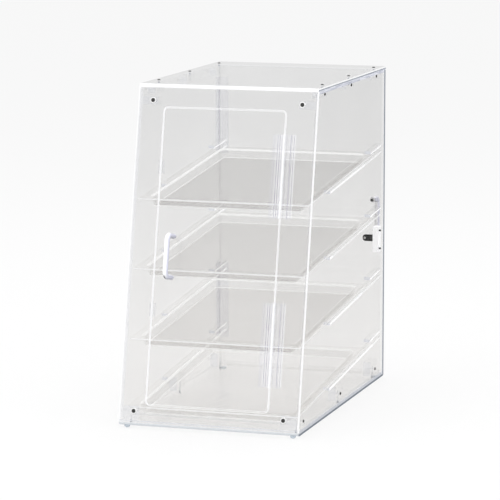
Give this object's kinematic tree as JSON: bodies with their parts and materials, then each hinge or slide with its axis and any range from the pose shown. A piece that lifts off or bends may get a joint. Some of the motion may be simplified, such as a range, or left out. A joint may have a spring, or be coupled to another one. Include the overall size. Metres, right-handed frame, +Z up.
{
  "type": "bakery display case",
  "caption": "Clear acrylic countertop bakery case with a slanted front door, a rear door and sloped slide-out trays on side rails.",
  "frame": {"origin": "centre of the overall outline at bench level, under the feet", "axes": "+X to the right seen from the front, +Y from the slanted front door to the rear door, +Z up"},
  "size_m": [0.3548, 0.6442, 0.6288],
  "materials": {
    "acrylic_sheet": "clear polished sheet",
    "acrylic_deck": "clear polished sheet",
    "acrylic_tray": "clear formed sheet",
    "acrylic_strip": "clear strip with bright edges",
    "acrylic_block": "clear cut block",
    "hinge_acrylic": "clear moulded hinge",
    "hinge_pin_steel": "drawn wire",
    "white_handle": "gloss white",
    "black_screw": "black oxide",
    "white_washer": "white nylon",
    "white_catch": "moulded white",
    "magnet": "dark ferrite",
    "black_plate": "black painted steel",
    "steel_screw": "plain steel",
    "grey_rubber": "soft moulded bumper"
  },
  "bodies": {
    "case": {"wrap_sheet": "acrylic_sheet", "side_panel_left": "acrylic_sheet", "side_panel_right": "acrylic_sheet", "floor_deck": "acrylic_deck", "front_door_stops": "acrylic_block", "rail_left_1": "acrylic_strip", "rail_left_2": "acrylic_strip", "rail_left_3": "acrylic_strip", "rail_left_4": "acrylic_strip", "rail_right_1": "acrylic_strip", "rail_right_2": "acrylic_strip", "rail_right_3": "acrylic_strip", "rail_right_4": "acrylic_strip", "keeper_left_1": "acrylic_strip", "keeper_left_2": "acrylic_strip", "keeper_left_3": "acrylic_strip", "keeper_left_4": "acrylic_strip", "keeper_right_1": "acrylic_strip", "keeper_right_2": "acrylic_strip", "keeper_right_3": "acrylic_strip", "keeper_right_4": "acrylic_strip", "front_hinge_upper_frame_leaf": "hinge_acrylic", "front_hinge_upper_pin": "hinge_pin_steel", "front_hinge_lower_frame_leaf": "hinge_acrylic", "front_hinge_lower_pin": "hinge_pin_steel", "rear_hinge_upper_case_leaf": "hinge_acrylic", "rear_hinge_upper_pin": "hinge_pin_steel", "rear_hinge_lower_case_leaf": "hinge_acrylic", "rear_hinge_lower_pin": "hinge_pin_steel", "front_corner_blocks": "acrylic_block", "top_corner_blocks": "acrylic_block", "base_corner_blocks": "acrylic_block", "front_screws": "black_screw", "front_screw_washers": "white_washer", "side_screws": "black_screw", "top_screws": "black_screw", "base_screws": "black_screw", "catch_body": "white_catch", "catch_magnet": "magnet", "catch_screws": "black_screw", "feet": "grey_rubber"},
    "front_door": {"front_door": "acrylic_sheet", "front_door_handle": "white_handle", "front_handle_screws": "black_screw", "front_hinge_upper_door_leaf": "hinge_acrylic", "front_hinge_lower_door_leaf": "hinge_acrylic"},
    "rear_door": {"rear_door": "acrylic_sheet", "rear_door_handle": "white_handle", "rear_handle_screws": "black_screw", "rear_hinge_upper_door_leaf": "hinge_acrylic", "rear_hinge_lower_door_leaf": "hinge_acrylic", "strike_plate": "black_plate", "strike_screw": "steel_screw"},
    "tray_1": {"tray_1": "acrylic_tray"},
    "tray_2": {"tray_2": "acrylic_tray"},
    "tray_3": {"tray_3": "acrylic_tray"},
    "tray_4": {"tray_4": "acrylic_tray"}
  },
  "joints": [
    {"name": "front_door_hinge", "type": "hinge", "parent": "case", "child": "front_door", "pos_m": [0.1164, -0.26266, 0.31699], "axis": [0, 0.2046, 0.9788], "range_deg": [0, 165]},
    {"name": "rear_door_hinge", "type": "hinge", "parent": "case", "child": "rear_door", "pos_m": [-0.1739, 0.28561, 0.323], "axis": [0, 0, 1], "range_deg": [0, 240]},
    {"name": "tray_1_slide", "type": "slide", "parent": "case", "child": "tray_1", "axis": [0, 0.9956, 0.0941], "range_m": [0, 0.035]},
    {"name": "tray_2_slide", "type": "slide", "parent": "case", "child": "tray_2", "axis": [0, 0.9956, 0.0941], "range_m": [0, 0.061]},
    {"name": "tray_3_slide", "type": "slide", "parent": "case", "child": "tray_3", "axis": [0, 0.9956, 0.0941], "range_m": [0, 0.088]},
    {"name": "tray_4_slide", "type": "slide", "parent": "case", "child": "tray_4", "axis": [0, 0.9956, 0.0941], "range_m": [0, 0.1]}
  ]
}
